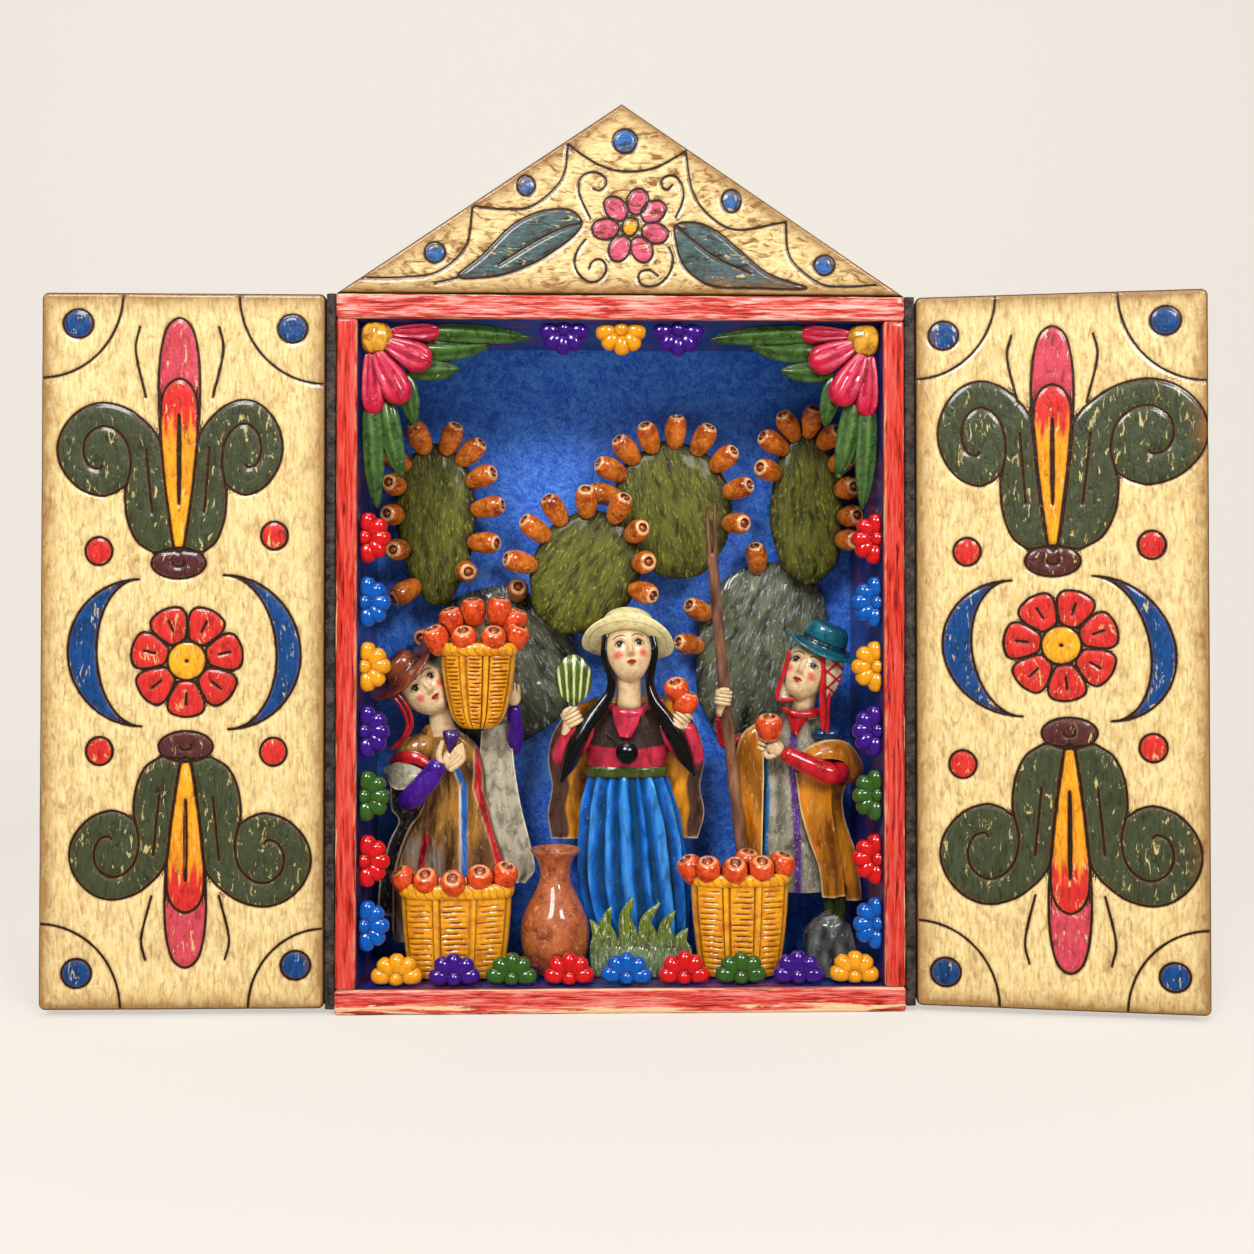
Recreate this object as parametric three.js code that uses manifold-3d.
// A small painted folk altar box: a wooden case with a gable and two leather-hinged doors,
// filled with moulded figures harvesting prickly pears.
// Millimetres. X runs to the right, Y into the case and Z up. The origin is the centre of the
// case's underside.
import * as THREE from "three";
import { mergeVertices } from "three/addons/utils/BufferGeometryUtils.js";
import Module from "manifold-3d";

const wasm = await Module();
wasm.setup();

// Case
const caseWidth = 160;
const caseHeight = 201.5;
const nicheDepth = 46;
const sideThickness = 6;
const topThickness = 7;
const bottomThickness = 7;
const backThickness = 4;
const gableHeight = 54;
const gableThickness = 6;

// Doors and their leather strips
const doorThickness = 6;
const doorMeetingGap = 2; // between the two closed doors
const doorFootGap = 1.8; // under a door, above what the case stands on
const doorHeadGap = 0.2; // from a door's top to the case's top
const doorFaceGap = 0.3; // between a closed door and the case's front
const doorGlueGap = 0.2; // between a door's edge and its leather
const leatherThickness = 1.2;
const leatherFoldGap = 0.25; // between the two layers when a door lies fully open
const leatherReach = 10; // how far the strip runs back along the case's side
const leftDoorOpening = 180; // degrees from closed, as the doors stand here
const rightDoorOpening = 170.5;

// Moulded trim
const pasteGap = 0.3; // glue line under every moulded piece
const rosetteReach = 7.6; // from a rosette's middle to a petal's tip
const petalLength = 6;
const petalWidth = 4.6;
const petalHeight = 4.6;
const budWidth = 5;
const budRise = 1.9; // how far a rosette's middle stands off its board
const sideRosetteStep = 18.2;
const rowRosetteStep = 16.2;
const bottomRowShift = 1.6; // the bottom row stands a little to the right
const lowestSideRosette = 17; // above the niche's floor

// Petals and leaves of a corner spray: how far the middle lies from the corner towards the
// niche's middle and down, then length, width and slope.
const sprayPetals = [
  [16, 3, 14, 5.2, 0],
  [14.4, 8.8, 14, 8, -22],
  [9, 16.8, 15, 7.4, -68],
  [3.4, 18, 17, 6.4, -88],
];
const sprayLeaves = [
  [34.4, 3.2, 28, 5.2, 2],
  [28, 7.8, 19, 5.4, 6],
  [20.2, 13.4, 14.4, 5.4, 20],
  [13.8, 22, 13.4, 5.2, 76],
  [8, 33, 20, 5.6, 84],
  [3.1, 38.2, 26, 5.2, 89],
];

// The niche that the moulded scene is drawn for. It is fitted to the niche that the case has.
const sceneHalf = 74;
const sceneHeight = 187.5;

// Prickly pears
const fruitLength = 10.4;
const fruitRadius = 3.2;
const fruitSeat = 0.9; // where a fruit's root lies, as a share of its pad's outline
const padLayer = 6.4; // the depth that one layer of pads takes up
const layerGap = 0.4;

// Rows of pieces, from the front into the case
const trimRow = 7.1;
const stillLifeRow = 12.6;
const figureHalf = 6.2; // half a figure's depth
const bootRadius = 3.6;
const poleRadius = 1.9;
const poleBow = 0.8;

// Derived lines of the case
const frontY = -(nicheDepth + backThickness) / 2;
const backY = frontY + nicheDepth;
const nicheHalf = caseWidth / 2 - sideThickness;
const floorZ = bottomThickness;
const ceilingZ = caseHeight - topThickness;
const acrossFit = nicheHalf / sceneHalf;
const upFit = (ceilingZ - floorZ) / sceneHeight;

// As many rosettes as fit between the corner sprays and along the floor
const sprayDrop = Math.max(...sprayLeaves.map(([, down, length]) => down + length / 2));
const sprayReach = Math.max(...sprayLeaves.map(([inwards, , length]) => inwards + length / 2));
const columnRoom = ceilingZ - sprayDrop - floorZ - lowestSideRosette - rosetteReach;
const sideRosettes = Math.floor(columnRoom / sideRosetteStep) + 1;
const topRoom = nicheHalf - sprayReach - rosetteReach;
const topRosettes = Math.floor((2 * topRoom) / rowRosetteStep) + 1;
const bottomRosettes = Math.floor((2 * (nicheHalf - rosetteReach)) / rowRosetteStep) + 1;

// Doors, and how deep each row of pieces lies behind the front
const doorHeight = caseHeight - doorFootGap - doorHeadGap;
const hingeX = caseWidth / 2 + leatherThickness + leatherFoldGap / 2;
const doorInset = leatherFoldGap / 2 + leatherThickness + doorGlueGap; // from the hinge line
const doorWidth = hingeX - doorInset - doorMeetingGap / 2;
const rosetteDepth = trimRow - petalHeight / 2 - pasteGap;
const stillLifeDepth = trimRow + stillLifeRow / 2;
const figureDepth = trimRow + stillLifeRow + figureHalf;
const poleDepth = trimRow + stillLifeRow + poleRadius;
const jarDepth = trimRow + 9.4;
const highBasketDepth = figureDepth - 8.4;
const paintFinish = { roughness: 0.45, metalness: 0 };

const part = new THREE.Group();

// Merges a geometry's shared corners and returns it as a solid with its faces pointing out.
function solidOf(geometry) {
  const bare = geometry.clone();
  bare.deleteAttribute("normal");
  bare.deleteAttribute("uv");
  const merged = mergeVertices(bare, 1e-4);
  const vertProperties = new Float32Array(merged.attributes.position.array);
  const make = (triVerts) =>
    new wasm.Manifold(new wasm.Mesh({ numProp: 3, vertProperties, triVerts }));
  const faces = new Uint32Array(merged.index.array);
  const made = make(faces);
  return made.volume() < 0 ? make(faces.reverse()) : made;
}

function geometryOf(solid) {
  const mesh = solid.getMesh();
  const geometry = new THREE.BufferGeometry();
  geometry.setAttribute(
    "position",
    new THREE.BufferAttribute(new Float32Array(mesh.vertProperties), 3),
  );
  geometry.setIndex(new THREE.BufferAttribute(new Uint32Array(mesh.triVerts), 1));
  return geometry;
}

const join = (solids) => solids.reduce((whole, next) => whole.add(next));

// Fits a piece of the scene to the niche, from the middle of its floor.
function fitted(solid) {
  return solid
    .translate([0, 0, -floorZ])
    .scale([acrossFit, 1, upFit])
    .translate([0, 0, floorZ]);
}

function addMesh(name, geometry, colour, finish = paintFinish, parent = part) {
  const material = new THREE.MeshStandardMaterial({ color: colour, flatShading: true, ...finish });
  const mesh = new THREE.Mesh(geometry, material);
  mesh.name = name;
  parent.add(mesh);
  return mesh;
}

// A block given by its lowest and highest corners.
function block(low, high) {
  const size = high.map((value, axis) => value - low[axis]);
  const geometry = new THREE.BoxGeometry(...size);
  return geometry.translate(...low.map((value, axis) => value + size[axis] / 2));
}

// A closed skin over rings that all have the same number of points.
function skin(rings) {
  const count = rings[0].length;
  const points = rings.flat();
  const middle = (ring) =>
    ring.reduce((sum, p) => sum.add(p), new THREE.Vector3()).divideScalar(count);
  const first = points.length;
  points.push(middle(rings[0]), middle(rings.at(-1)));
  const faces = [];
  for (let k = 0; k < count; k++) {
    const next = (k + 1) % count;
    for (let r = 0; r < rings.length - 1; r++) {
      const low = r * count;
      const high = low + count;
      faces.push(low + k, low + next, high + next, low + k, high + next, high + k);
    }
    const last = (rings.length - 1) * count;
    faces.push(first, next, k, first + 1, last + k, last + next);
  }
  const geometry = new THREE.BufferGeometry().setFromPoints(points);
  geometry.setIndex(faces);
  return geometry;
}

// A standing body: level oval sections, each [x, depth, z, half width, half depth].
function robe(sections, sides = 14) {
  const rings = sections.map(([x, depth, z, halfWidth, halfDepth]) =>
    Array.from({ length: sides }, (_, k) => {
      const turn = (k / sides) * 2 * Math.PI;
      return new THREE.Vector3(
        x + halfWidth * Math.cos(turn),
        frontY + depth + halfDepth * Math.sin(turn),
        z,
      );
    }),
  );
  return solidOf(skin(rings));
}

// A round limb along points [x, depth, z, radius].
function limb(points, sides = 6) {
  const places = points.map(([x, depth, z]) => new THREE.Vector3(x, frontY + depth, z));
  const rings = places.map((place, k) => {
    const before = places[Math.max(k - 1, 0)];
    const after = places[Math.min(k + 1, places.length - 1)];
    const along = after.clone().sub(before).normalize();
    const guide = Math.abs(along.y) > 0.9 ? new THREE.Vector3(1, 0, 0) : new THREE.Vector3(0, 1, 0);
    const across = guide.cross(along).normalize();
    const up = along.clone().cross(across);
    return Array.from({ length: sides }, (_, side) => {
      const turn = (side / sides) * 2 * Math.PI;
      return place
        .clone()
        .addScaledVector(across, points[k][3] * Math.cos(turn))
        .addScaledVector(up, points[k][3] * Math.sin(turn));
    });
  });
  return solidOf(skin(rings));
}

// An oval lump. Tilt turns it in the plane of the case's front, in degrees.
function lump([x, depth, z], [halfWidth, halfDepth, halfHeight], tilt = 0, detail = 1) {
  const geometry = new THREE.IcosahedronGeometry(1, detail);
  geometry.scale(halfWidth, halfDepth, halfHeight);
  geometry.rotateY(THREE.MathUtils.degToRad(tilt));
  return solidOf(geometry.translate(x, frontY + depth, z));
}

// A flat slab cut to an outline of [x, z] points, between two depths.
function slab(outline, nearDepth, farDepth) {
  const shape = new THREE.Shape(outline.map(([x, z]) => new THREE.Vector2(x, z)));
  const geometry = new THREE.ExtrudeGeometry(shape, {
    depth: farDepth - nearDepth,
    bevelEnabled: false,
  });
  geometry.rotateX(Math.PI / 2);
  return solidOf(geometry.translate(0, frontY + farDepth, 0));
}

// A turned shape on the upright axis: profile points [radius, height].
function lathe(profile, sides) {
  const outline = profile.map(([radius, height]) => new THREE.Vector2(radius, height));
  return new THREE.LatheGeometry(outline, sides).rotateX(Math.PI / 2);
}

function turned(profile, [x, depth, z], sides) {
  return solidOf(lathe(profile, sides).translate(x, frontY + depth, z));
}

// A prickly pear from its stalk end. Clock is its direction in the front plane, in degrees from
// the right, and lean is how far it turns towards the viewer.
function fruit([x, depth, z], clock, lean, length = fruitLength, radius = fruitRadius) {
  const profile = [
    [0, 0],
    [radius * 0.66, length * 0.06],
    [radius, length * 0.6],
    [radius * 0.78, length],
    [0, length * 0.95],
  ];
  const outline = profile.map(([r, h]) => new THREE.Vector2(r, h));
  const geometry = new THREE.LatheGeometry(outline, 7);
  geometry.applyQuaternion(
    new THREE.Quaternion().setFromUnitVectors(new THREE.Vector3(0, 1, 0), heading(clock, lean)),
  );
  return solidOf(geometry.translate(x, frontY + depth, z));
}

function heading(clock, lean) {
  const turn = THREE.MathUtils.degToRad(clock);
  const tip = THREE.MathUtils.degToRad(lean);
  return new THREE.Vector3(
    Math.cos(turn) * Math.cos(tip),
    -Math.sin(tip),
    Math.sin(turn) * Math.cos(tip),
  );
}

// Case boards
function addCase() {
  const half = caseWidth / 2;
  const red = 0xd0342c;
  addMesh("bottom_board", block([-half, frontY, 0], [half, backY, floorZ]), red);
  addMesh("top_board", block([-half, frontY, ceilingZ], [half, backY, caseHeight]), red);
  addMesh("left_side_board", block([-half, frontY, floorZ], [-nicheHalf, backY, ceilingZ]), red);
  addMesh("right_side_board", block([nicheHalf, frontY, floorZ], [half, backY, ceilingZ]), red);
  addMesh(
    "back_panel",
    block([-half, backY, 0], [half, backY + backThickness, caseHeight]),
    0x1f4fae,
  );
  const gable = slab(
    [
      [-half, caseHeight],
      [half, caseHeight],
      [0, caseHeight + gableHeight],
    ],
    0,
    gableThickness,
  );
  addMesh("gable_board", geometryOf(gable), 0xe6cf97);
}

// A door and its leather strip. The door swings on a line just outside the case's front corner,
// and this draws it lying fully open before it is turned. Side is -1 for the left one.
function addDoor(side, name, opening) {
  const sided = ([x0, y0, z0], [x1, y1, z1]) =>
    side > 0 ? block([x0, y0, z0], [x1, y1, z1]) : block([-x1, y0, z0], [-x0, y1, z1]);
  const leatherFinish = { roughness: 0.85, metalness: 0 };
  const leather = 0x3a3430;
  const half = caseWidth / 2;
  const top = doorFootGap + doorHeight;

  const hinge = new THREE.Group();
  hinge.position.set(side * hingeX, frontY, 0);
  hinge.rotation.z = side * THREE.MathUtils.degToRad(opening - 180);
  part.add(hinge);

  const from = leatherFoldGap / 2;
  const back = doorFaceGap + doorThickness;
  const leaf = sided([from, doorFaceGap, doorFootGap], [from + leatherThickness, back, top]);
  const panel = sided([doorInset, doorFaceGap, doorFootGap], [doorInset + doorWidth, back, top]);
  const strip = sided([half, frontY, doorFootGap], [half + leatherThickness, frontY + leatherReach, top]);
  addMesh(name + "_door", panel, 0xe6cf97, paintFinish, hinge);
  addMesh(name + "_hinge_door_leaf", leaf, leather, leatherFinish, hinge);
  addMesh(name + "_hinge_case_leaf", strip, leather, leatherFinish);
}

// How full a petal is along its length: [place from -1 to 1, share of its width].
const longPetal = [[-1, 0.35], [-0.4, 0.95], [0.4, 0.95], [1, 0.3]];
const shortPetal = [[-1, 0.45], [0.3, 1], [1, 0.45]];

// A blunt oval petal or leaf lying in the front plane, pointing along clock in degrees.
function petal([x, depth, z], length, width, height, clock, fullness, sides) {
  const turn = THREE.MathUtils.degToRad(clock);
  const along = new THREE.Vector3(Math.cos(turn), 0, Math.sin(turn));
  const across = new THREE.Vector3(-Math.sin(turn), 0, Math.cos(turn));
  const inwards = new THREE.Vector3(0, 1, 0);
  const rings = fullness.map(([place, share]) =>
    Array.from({ length: sides }, (_, k) => {
      const angle = (k / sides) * 2 * Math.PI;
      return new THREE.Vector3(x, frontY + depth, z)
        .addScaledVector(along, (place * length) / 2)
        .addScaledVector(across, ((share * width) / 2) * Math.cos(angle))
        .addScaledVector(inwards, ((share * height) / 2) * Math.sin(angle));
    }),
  );
  return solidOf(skin(rings));
}

// Half a flower against a board. Away points from the board into the niche, in degrees.
function rosette([x, z], away) {
  const turned = (clock) => THREE.MathUtils.degToRad(away + clock);
  const budX = x + budRise * Math.cos(turned(0));
  const budZ = z + budRise * Math.sin(turned(0));
  const half = budWidth / 2;
  const pieces = [lump([budX, rosetteDepth, budZ], [half, petalHeight / 2, half], 0, 0)];
  const middle = rosetteReach - petalLength / 2;
  for (const clock of [-82, -41, 0, 41, 82]) {
    const place = [
      budX + middle * Math.cos(turned(clock)),
      rosetteDepth,
      budZ + middle * Math.sin(turned(clock)),
    ];
    pieces.push(petal(place, petalLength, petalWidth, petalHeight, away + clock, shortPetal, 4));
  }
  return join(pieces).intersect(nicheRoom());
}

// The space inside the niche, less the glue line on its boards.
function nicheRoom() {
  const low = [pasteGap - nicheHalf, frontY, floorZ + pasteGap];
  const high = [nicheHalf - pasteGap, backY - pasteGap, ceilingZ - pasteGap];
  return solidOf(block(low, high));
}

const rosetteColours = {
  red: 0xd8262b,
  blue: 0x1560b8,
  yellow: 0xf0a81c,
  purple: 0x4a1f8c,
  green: 0x3f6b2e,
};

function addRosettes() {
  const add = (name, place, away, colour) =>
    addMesh(name, geometryOf(rosette(place, away)), rosetteColours[colour]);
  const column = ["blue", "red", "green", "purple", "yellow", "blue", "red"];
  for (let k = 0; k < sideRosettes; k++) {
    const z = floorZ + lowestSideRosette + k * sideRosetteStep;
    const colour = column[k % column.length];
    add(`rosette_left_${k + 1}`, [-nicheHalf, z], 0, colour);
    add(`rosette_right_${k + 1}`, [nicheHalf, z], 180, colour);
  }
  const top = ["purple", "yellow", "purple"];
  for (let k = 0; k < topRosettes; k++) {
    const x = (k - (topRosettes - 1) / 2) * rowRosetteStep;
    add(`rosette_top_${k + 1}`, [x, ceilingZ], -90, top[k % top.length]);
  }
  const bottom = ["yellow", "purple", "green", "red", "blue", "red", "green", "purple", "yellow"];
  for (let k = 0; k < bottomRosettes; k++) {
    const x = (k - (bottomRosettes - 1) / 2) * rowRosetteStep + bottomRowShift;
    add(`rosette_bottom_${k + 1}`, [x, floorZ], 90, bottom[k % bottom.length]);
  }
}

// A big quarter flower with leaves in a top corner. Side is -1 for the left one.
function addCornerSpray(side, name) {
  const bud = lump(
    [side * (nicheHalf - 4.7), rosetteDepth, ceilingZ - 4.6],
    [4.7, petalHeight * 0.6, 4.8],
  );
  const pieces = [...sprayPetals, ...sprayLeaves].map(([inwards, down, length, width, slope]) =>
    petal(
      [side * (nicheHalf - inwards), rosetteDepth, ceilingZ - down],
      length,
      width,
      petalHeight,
      side < 0 ? slope : 180 - slope,
      longPetal,
      5,
    ),
  );
  addMesh(name, geometryOf(join([bud, ...pieces]).intersect(nicheRoom())), 0xd93a6a);
}

// A prickly pear pad: an egg outline with a domed face. Layer counts from the back panel, and
// root is where a lump of paste behind the pad carries it, if it isn't in the rearmost layer.
function pad({ middle, half, taper, tilt, layer, root, fruits }) {
  const depth = nicheDepth - pasteGap - layer * (padLayer + layerGap) - padLayer / 2;
  const turn = THREE.MathUtils.degToRad(tilt);
  const outline = (angle, share) => {
    const x = half[0] * Math.cos(angle) * (1 + taper * Math.sin(angle)) * share;
    const z = half[1] * Math.sin(angle) * share;
    return [
      middle[0] + x * Math.cos(turn) - z * Math.sin(turn),
      middle[1] + x * Math.sin(turn) + z * Math.cos(turn),
    ];
  };
  const sides = 18;
  const ringAt = (share, rise) =>
    Array.from({ length: sides }, (_, k) => {
      const [x, z] = outline((k / sides) * 2 * Math.PI, share);
      return new THREE.Vector3(x, frontY + depth + rise * (padLayer / 2), z);
    });
  const dome = [[0.82, 1], [1, 0.3], [0.96, -0.4], [0.62, -0.9], [0.2, -1]];
  const pieces = [solidOf(skin(dome.map(([share, rise]) => ringAt(share, rise))))];
  for (const [clock, lean] of fruits) {
    const angle = THREE.MathUtils.degToRad(clock);
    const [x, z] = outline(angle, fruitSeat);
    const outwards = Math.atan2(Math.sin(angle) / half[1], Math.cos(angle) / half[0]);
    pieces.push(fruit([x, depth, z], THREE.MathUtils.radToDeg(outwards) + tilt, lean));
  }
  if (root) {
    const reach = nicheDepth - pasteGap - depth;
    const stub = limb([[root[0], depth + reach, root[1], 5], [root[0], depth, root[1], 5]], 8);
    pieces.push(stub);
  }
  return fitted(join(pieces)).intersect(nicheRoom());
}

function addCactus() {
  const up = (z) => floorZ + z;
  const pads = {
    cactus_pad_left: {
      middle: [-55, up(131.8)],
      half: [12, 25],
      taper: 0.22,
      tilt: 2,
      layer: 1,
      root: [-55, up(139)],
      fruits: [
        [100, 15], [76, 15], [56, 10], [34, 20], [11, 8], [-14, 20], [-38, 65],
        [127, 20], [148, 60], [172, 62], [198, 60], [231, 15],
      ],
    },
    cactus_pad_middle_high: {
      middle: [17.8, up(136.6)],
      half: [18, 21.2],
      taper: 0.08,
      tilt: 12,
      layer: 1,
      root: [19, up(142)],
      fruits: [
        [157, 12], [137, 12], [118, 15], [98, 24], [77, 12], [55, 20], [32, 30], [6, 34], [-22, 50],
      ],
    },
    cactus_pad_middle_low: {
      middle: [-9.8, up(117.2)],
      half: [16.2, 19.6],
      taper: 0.05,
      tilt: -28,
      layer: 2,
      root: [-12, up(122)],
      fruits: [
        [197, 14], [168, 14], [146, 14], [119, 30], [90, 30], [64, 52], [34, 58], [8, 36],
      ],
    },
    cactus_pad_right: {
      middle: [58.8, up(138)],
      half: [11.5, 23.8],
      taper: -0.12,
      tilt: 2,
      layer: 1,
      root: [58, up(144)],
      fruits: [
        [107, 20], [85, 25], [60, 45], [34, 55], [12, 72], [-10, 66], [-30, 60], [128, 12], [152, 34],
      ],
    },
    cactus_pad_grey_left: {
      middle: [-36, up(89)],
      half: [24.4, 24.6],
      taper: 0,
      tilt: 20,
      layer: 0,
      fruits: [[56, 70], [140, 66]],
    },
    cactus_pad_grey_right: {
      middle: [44.7, up(92.5)],
      half: [20, 28.8],
      taper: 0.18,
      tilt: -18,
      layer: 0,
      fruits: [[166, 26], [188, 24], [112, 22]],
    },
  };
  for (const [name, sizes] of Object.entries(pads)) {
    addMesh(name, geometryOf(pad(sizes)), name.includes("grey") ? 0x5c6350 : 0x5d6a1e);
  }
}

// Oval basket with its fruit piled on top. Heap places are from the middle of the rim.
function basket({ middle, depth, foot, height, base, rim, band, heap }) {
  const top = foot + height;
  const body = robe(
    [
      [middle, depth, foot, base[0], base[1]],
      [middle, depth, foot + height * 0.45, (base[0] + rim[0]) / 2 + 0.5, (base[1] + rim[1]) / 2],
      [middle, depth, top - band, rim[0] - 0.9, rim[1] - 0.9],
      [middle, depth, top - band * 0.6, rim[0], rim[1]],
      [middle, depth, top, rim[0] - 0.7, rim[1] - 0.7],
    ],
    16,
  );
  const fruits = heap.map(([across, inwards, rise, clock, lean]) =>
    fruit([middle + across, depth + inwards, top + rise], clock, lean, 8, 3.6),
  );
  return fitted(join([body, ...fruits]));
}

function addBaskets() {
  const foot = floorZ + pasteGap;
  const half = stillLifeRow / 2 - pasteGap;
  addMesh("floor_basket_left", geometryOf(basket({
    middle: -47, depth: stillLifeDepth, foot, height: 25.6,
    base: [12.9, half - 1.4], rim: [16.2, half], band: 6,
    heap: [
      [-12.4, 0, -2.6, 112, 10], [-7.4, -0.6, -2.6, 95, 32], [0, -1, -2.6, 90, 44],
      [6.8, -0.6, -2.6, 86, 30], [12.8, 0, -2.6, 74, 16],
    ],
  })), 0xe0a228);
  addMesh("floor_basket_right", geometryOf(basket({
    middle: 34.8, depth: stillLifeDepth, foot, height: 28.4,
    base: [10.8, half - 1.4], rim: [14.5, half], band: 4.6,
    heap: [
      [-12, 0.4, -2.2, 116, 12], [-8.6, -1.2, -2.2, 95, 26], [-1.6, -1.4, -2.2, 90, 32],
      [5.6, -1.2, -2.2, 88, 28], [11, 0.4, -2.2, 74, 10],
    ],
  })), 0xe0a228);
  addMesh("shoulder_basket", geometryOf(basket({
    middle: -41, depth: highBasketDepth, foot: floorZ + 71.4, height: 23.8,
    base: [5.8, 4.2], rim: [11.2, 7.4], band: 4.4,
    heap: [
      [-7.4, -1, -2, 112, 25], [-1, -2, -2, 92, 38], [5.4, -1.6, -2, 80, 44],
      [8, 1.4, -1.6, 60, 15], [-4.4, 0.6, 1, 98, 12], [2.6, 0.6, 1, 84, 14],
    ],
  })), 0xe0a228);
}

function addStillLife() {
  const foot = floorZ + pasteGap;
  const jarProfile = [
    [0, 0], [5.8, 0], [8.6, 4], [10, 11], [9.3, 17], [6.4, 23], [4.3, 28], [4.6, 32], [7.3, 35.4],
    [6.9, 36.4], [4.2, 35], [0, 33.6],
  ];
  addMesh("water_jar", geometryOf(fitted(turned(jarProfile, [-18.6, jarDepth, foot], 18))), 0xb0633a);

  const blades = [
    [-6.4, 0], [19, 0], [20.6, 12.4], [18.4, 9], [17.9, 16], [15.4, 9.4], [13.9, 19], [12.2, 10],
    [10.4, 21], [8.4, 20.6], [6.6, 9.6], [3.9, 22.8], [2.4, 21], [0.4, 9.6], [-2, 20.2],
    [-3.4, 9.4], [-7.2, 16.4],
  ];
  const outline = blades.map(([x, z]) => [x, foot + z]);
  const grass = slab(outline, stillLifeDepth - 1.2, stillLifeDepth + 1.2);
  addMesh("grass_clump", geometryOf(fitted(grass)), 0x7d8b3a);

  const rock = lump([61.4, stillLifeDepth, foot + 7.6], [9.2, 6, 11.2], -12, 1);
  addMesh("rock", geometryOf(fitted(rock).intersect(nicheRoom())), 0x5f5f60);
}

// A cane that leans across the niche, with a cleft in its top end. Spare thickens it.
function pole(spare, sides) {
  const foot = [41, floorZ];
  const head = [27.8, floorZ + 137];
  const steps = 5;
  const points = Array.from({ length: steps }, (_, k) => {
    const share = k / (steps - 1);
    return [
      foot[0] + (head[0] - foot[0]) * share - poleBow * Math.sin(Math.PI * share),
      poleDepth,
      foot[1] + (head[1] - foot[1]) * share,
      poleRadius * (1 - 0.2 * share) + spare,
    ];
  });
  const cleft = slab(
    [
      [head[0] - 0.8, head[1] + 1],
      [head[0] + 1.2, head[1] + 1],
      [head[0] + 1.2, head[1] - 16],
    ],
    poleDepth - poleRadius * 2,
    poleDepth + poleRadius * 2,
  );
  return limb(points, sides).subtract(cleft);
}

// A hat and the space above its brim's underside, which the head stays out of. Lean is how far
// it drops to the right, and back how far its rear edge drops, in degrees.
function hat({ place: [x, depth, z], brim, crown, lean, back }) {
  const profile = [
    [0, 0], [brim[0] * 0.75, 0], [brim[0], 1], [brim[0] * 0.96, 1.9], [crown[0] * 1.05, 1.7],
    [crown[0] * 0.86, crown[1] * 0.78], [crown[0] * 0.5, crown[1]], [0, crown[1]],
  ];
  const seat = (solid) =>
    solid
      .scale([1, brim[1] / brim[0], 1])
      .rotate([-back, lean, 0])
      .translate([x, frontY + depth, z]);
  const shape = solidOf(lathe(profile, 16));
  const reach = brim[0];
  const above = solidOf(block([-reach, -reach, -pasteGap], [reach, reach, reach * 2]));
  return { shape: seat(shape), space: seat(above) };
}

// Both men stand on boots under a robe. Heights are from the floor, and x from the figure's
// own middle.
function boots(x, depth, places, height) {
  return places.map((aside) =>
    limb([
      [x + aside, depth, floorZ + height, bootRadius],
      [x + aside, depth, floorZ + pasteGap, bootRadius],
    ], 8),
  );
}

function leftMan() {
  const x = -51;
  const d = figureDepth;
  const up = (z) => floorZ + z;
  const body = robe([
    [x + 0.4, d, up(8), 16, figureHalf],
    [x + 0.6, d, up(26), 16.6, figureHalf],
    [x + 1.8, d, up(44), 13, figureHalf - 0.6],
    [x + 0.4, d, up(60), 11.6, figureHalf - 1],
    [x - 1.6, d, up(68), 9.6, figureHalf - 1.6],
    [x - 2, d, up(72), 4.4, 4],
    [x - 3.4, d - 2, up(79), 3.8, 3.6],
  ]);
  const rightCape = slab([
    [x + 10, up(70)], [x + 20, up(59)], [x + 23, up(45)], [x + 26.4, up(27.4)],
    [x + 21.6, up(24.2)], [x + 14, up(28)],
  ], d - 1, d + 4);
  const leftCape = slab([
    [x - 9, up(66)], [x - 17.6, up(59)], [x - 15, up(46)], [x - 17.6, up(37)],
    [x - 21.8, up(24)], [x - 15, up(22)],
  ], d - 2, d + 3);
  const shoulderFlap = lump([x - 13, d - 3, up(59.6)], [6.6, 5, 5], -20);
  const head = lump([x - 5.6, d - 4.4, up(82.4)], [6.9, 7, 9.2], -25);
  const ribbon = limb([
    [x - 13.4, d - 6, up(81), 1.5], [x - 10.4, d - 6.4, up(74), 1.7],
    [x - 13.6, d - 5, up(64.4), 2.2],
  ]);
  const nearArm = limb([
    [x - 11, d - 2, up(60), 4], [x - 13.4, d - 6.6, up(49.4), 4.1],
    [x - 1, d - 8.4, up(58.4), 3], [x + 2.8, d - 8.8, up(63), 3.6],
  ]);
  const scarf = lump([x + 1.8, d - 8.8, up(67)], [2.6, 2, 3.4]);
  const farArm = limb([
    [x + 13, d + 1, up(60), 3.4], [x + 20.2, d, up(65), 3],
    [x + 20.4, d - 1.6, up(76), 2.2], [x + 20.8, d - 2.4, up(82), 2.2],
  ]);
  const worn = hat({
    place: [x - 12, d - 4.6, up(88.4)], brim: [14.4, 9.4], crown: [6.3, 6.6], lean: -48, back: 0,
  });
  const shown = [body, rightCape, leftCape, shoulderFlap, head, ribbon, nearArm, scarf, farArm];
  return { figure: join([...shown, ...boots(x, d, [-8, 7], 12)]), worn };
}

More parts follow.
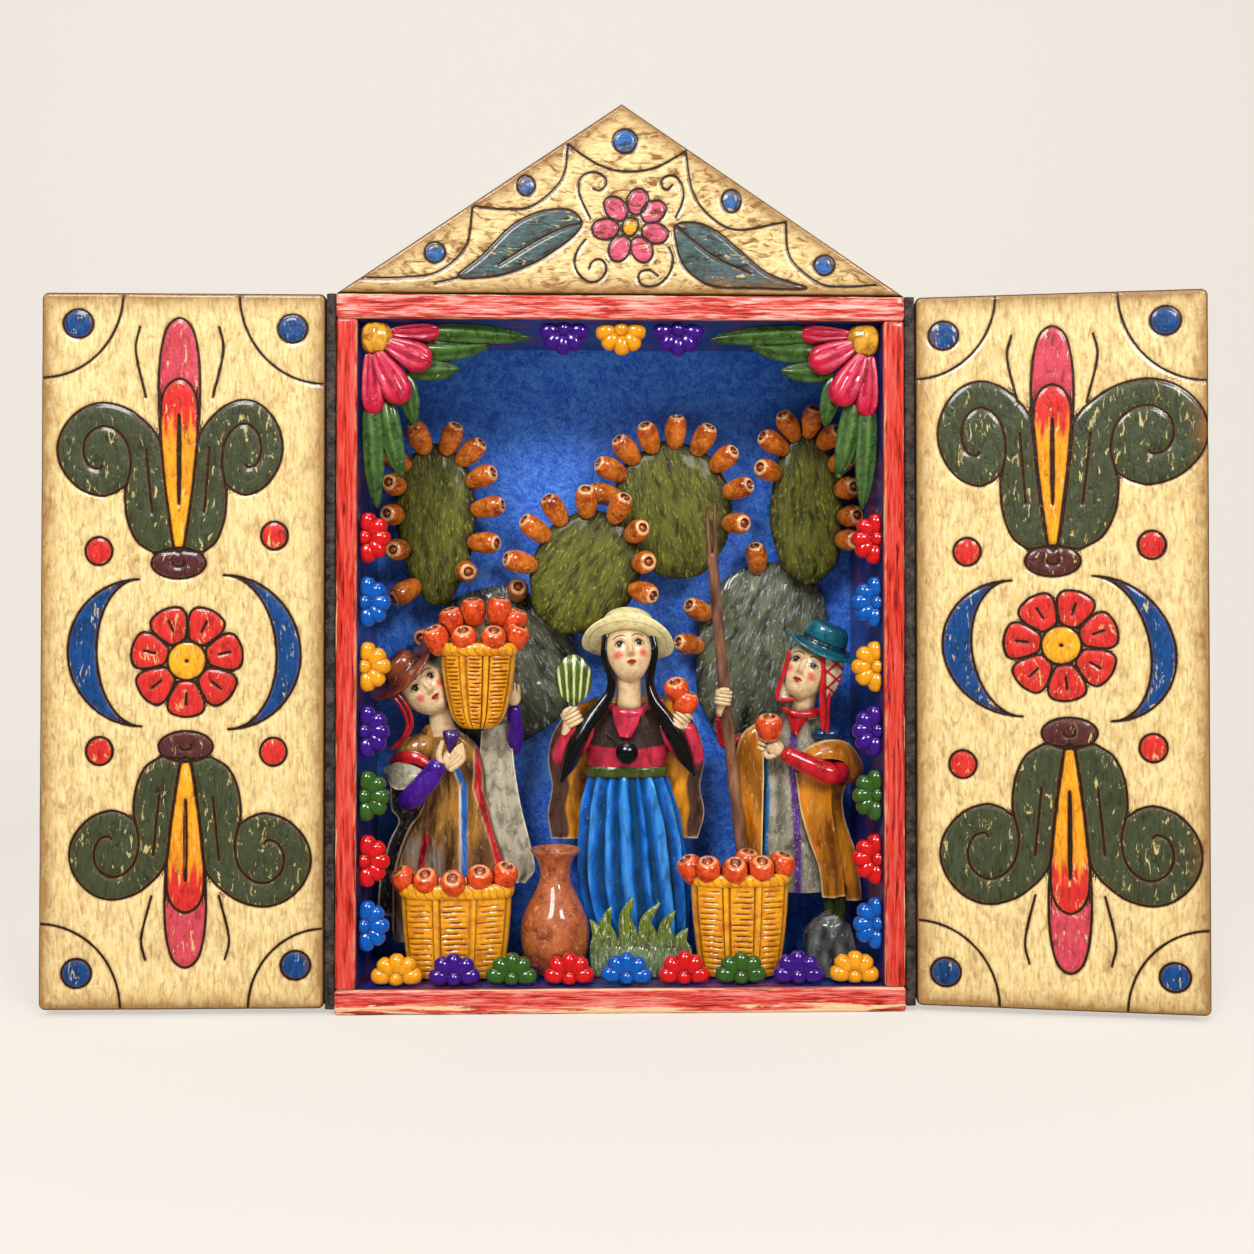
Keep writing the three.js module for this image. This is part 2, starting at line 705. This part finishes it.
function woman() {
  const x = 3.2;
  const d = figureDepth;
  const up = (z) => floorZ + z;
  const dress = robe([
    [x + 2.4, d, up(pasteGap), 16.6, figureHalf],
    [x + 2.4, d, up(8), 17, figureHalf],
    [x + 1, d, up(27), 16, figureHalf],
    [x + 0.6, d, up(44), 14.2, figureHalf - 0.6],
    [x - 0.2, d, up(56.6), 12.2, figureHalf - 1],
    [x - 0.2, d, up(66), 11.4, figureHalf - 1],
    [x - 0.6, d, up(73), 11.6, figureHalf - 1.6],
    [x - 0.6, d, up(77.6), 6, 4.4],
    [x - 0.4, d - 1.6, up(86), 3.9, 3.9],
  ]);
  const shawl = slab([
    [x - 10.6, up(79.4)], [x - 18, up(75)], [x - 23.4, up(64)], [x - 24, up(50)],
    [x - 23, up(35)], [x + 21.4, up(35)], [x + 23.2, up(50)], [x + 22.8, up(64)],
    [x + 16, up(76)], [x + 9.4, up(79.4)],
  ], d + 2.6, d + 5);
  const head = lump([x - 0.2, d - 4.4, up(94)], [7, 7.2, 9.2]);
  const arms = [-1, 1].map((side) =>
    limb([
      [x - 0.4 + side * 10.6, d - 1, up(71), 3.2], [x - 0.4 + side * 19.6, d - 3, up(61.6), 3.5],
      [x - 0.4 + side * 18.2, d - 5.4, up(70.4), 2.8], [x - 0.4 + side * 16, d - 6, up(75.4), 2.5],
    ]),
  );
  const braids = [-1, 1].map((side) =>
    limb([
      [x - 0.4 + side * 6.8, d - 6, up(94), 1.7], [x + side * 5.8, d - 7, up(83), 1.9],
      [x + side * 11.8, d - 6.6, up(71.4), 2.8], [x + side * 16.6, d - 6.8, up(62), 2.5],
      [x + side * 19.4, d - 6.4, up(56), 0.8],
    ]),
  );
  const medal = lump([x - 0.8, d - 6.4, up(64.2)], [3.5, 3, 3.5]);
  const paddle = lump([x - 16.3, d - 6.4, up(85)], [5.2, 1.8, 7.2]);
  const stalk = limb([
    [x - 16.4, d - 6.4, up(80), 1.5], [x - 17.4, d - 6, up(67.6), 1.3],
  ]);
  const held = [
    fruit([x + 16, d - 5.6, up(74.6)], 84, 20, 7.4, 4),
    fruit([x + 15.4, d - 5, up(80)], 96, 30, 6.6, 3.7),
  ];
  const worn = hat({
    place: [x - 0.4, d - 5, up(95.4)], brim: [13.6, 10.4], crown: [7.4, 11.4], lean: 0, back: 26,
  });
  const shown = [dress, shawl, head, ...arms, ...braids, medal, paddle, stalk, ...held];
  return { figure: join(shown), worn };
}

function rightMan() {
  const x = 55.4;
  const d = figureDepth + 0.6;
  const up = (z) => floorZ + z;
  const body = robe([
    [x - 2.6, d, up(20), 12, figureHalf - 1],
    [x - 2.6, d, up(43), 12.4, figureHalf - 1],
    [x - 1, d, up(59), 12.4, figureHalf - 1],
    [x - 0.6, d, up(69), 10.6, figureHalf - 1.6],
    [x + 1.2, d, up(74), 4.6, 4],
    [x + 1.4, d - 1.6, up(80), 3.7, 3.6],
  ]);
  const leftCape = slab([
    [x - 11, up(72)], [x - 17, up(71)], [x - 18, up(53)], [x - 19, up(33)], [x - 18.6, up(17)],
    [x - 6, up(17)],
  ], d - 1.4, d + 3.4);
  const rightCape = slab([
    [x + 9, up(70)], [x + 15.4, up(66)], [x + 18, up(58)], [x + 14.4, up(53.4)],
    [x + 13.4, up(45)], [x + 15.4, up(31)], [x + 18, up(17.6)], [x + 10, up(18.6)],
    [x + 3, up(20)], [x + 1, up(50)],
  ], d - 6, d + 1);
  const head = lump([x + 2, d - 4.4, up(87.4)], [6.9, 7, 9.2], 12);
  const flaps = [
    limb([[x + 7.6, d - 5.6, up(90), 2.6], [x + 8.6, d - 5.6, up(80), 2], [x + 8, d - 4, up(68), 1.5]]),
    limb([[x - 3.4, d - 4, up(88), 1.6], [x - 5, d - 3.4, up(80.6), 1.8]]),
  ];
  const nearArm = limb([
    [x + 10, d - 3, up(63), 4], [x + 10.6, d - 7.4, up(56.6), 4],
    [x - 5, d - 8.4, up(62.4), 3.2], [x - 9.4, d - 8.6, up(64.6), 3],
  ]);
  const farArm = limb([
    [x - 13, d, up(63), 3.2], [x - 21.6, d - 0.4, up(63.6), 2.8],
    [x - 22.6, d - 1, up(73), 2.2], [x - 23.4, d - 1.6, up(79.6), 2.5],
  ]);
  const held = fruit([x - 9.4, d - 8.6, up(66)], 92, 20, 7.6, 3.9);
  const worn = hat({
    place: [x + 7, d - 3.6, up(95.2)], brim: [11.8, 9], crown: [6.8, 8.6], lean: 23, back: 0,
  });
  const shown = [body, leftCape, rightCape, head, ...flaps, nearArm, farArm, held];
  return { figure: join([...shown, ...boots(x, d, [11, -9], 20)]), worn };
}

function addFigures() {
  const cane = fitted(pole(0, 7)).intersect(nicheRoom());
  addMesh("picking_pole", geometryOf(cane), 0x7a4a33);
  const grip = pole(pasteGap, 10);
  const people = {
    left_man: { ...leftMan(), dress: 0x8a6a3c, felt: 0x8c4a2a },
    woman: { ...woman(), dress: 0x1d5fc0, felt: 0xe2d29a },
    right_man: { ...rightMan(), dress: 0x9a6a2a, felt: 0x1d6f78 },
  };
  for (const [name, { figure, worn, dress, felt }] of Object.entries(people)) {
    const clear = fitted(figure.subtract(worn.space).subtract(grip)).intersect(nicheRoom());
    addMesh(name, geometryOf(clear), dress);
    addMesh(name + "_hat", geometryOf(fitted(worn.shape)), felt);
  }
}

addCase();
addDoor(-1, "left", leftDoorOpening);
addDoor(1, "right", rightDoorOpening);
addRosettes();
addCornerSpray(-1, "corner_spray_left");
addCornerSpray(1, "corner_spray_right");
addCactus();
addBaskets();
addStillLife();
addFigures();

export default part;
